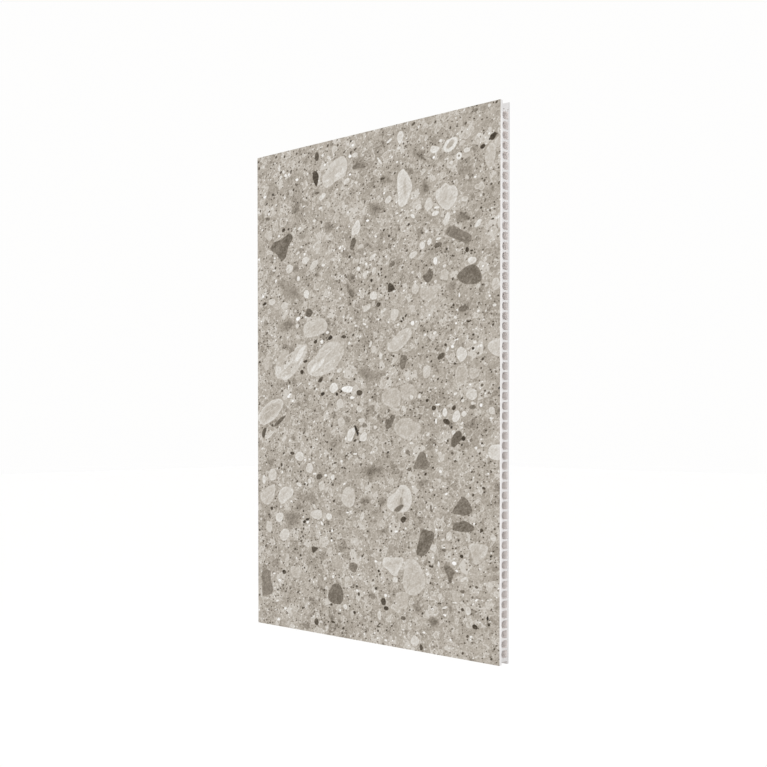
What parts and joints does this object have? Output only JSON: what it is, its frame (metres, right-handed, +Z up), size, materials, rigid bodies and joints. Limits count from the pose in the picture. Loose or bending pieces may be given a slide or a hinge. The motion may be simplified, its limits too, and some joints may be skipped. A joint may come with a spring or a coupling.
{
  "type": "pvc shower wall panel",
  "caption": "Flat hollow-core plastic wall panel with a printed stone-look face, open square cells at its cut ends, a rebated top edge and a grooved bottom edge.",
  "frame": {"origin": "centre of the flat back face, which goes against the wall", "axes": "+Z up along the panel's height, across the cells; +X along the cells, out of the cut end; +Y into the wall, so the decor faces -Y"},
  "size_m": [0.25, 0.01, 0.375],
  "materials": {
    "white_pvc": "white extruded PVC, satin, sawn matt at the cut ends",
    "stone_print": "matt printed film, greige conglomerate stone pattern"
  },
  "bodies": {
    "root": {"hollow_core_panel": "white_pvc", "decor_film": "stone_print"}
  },
  "joints": []
}
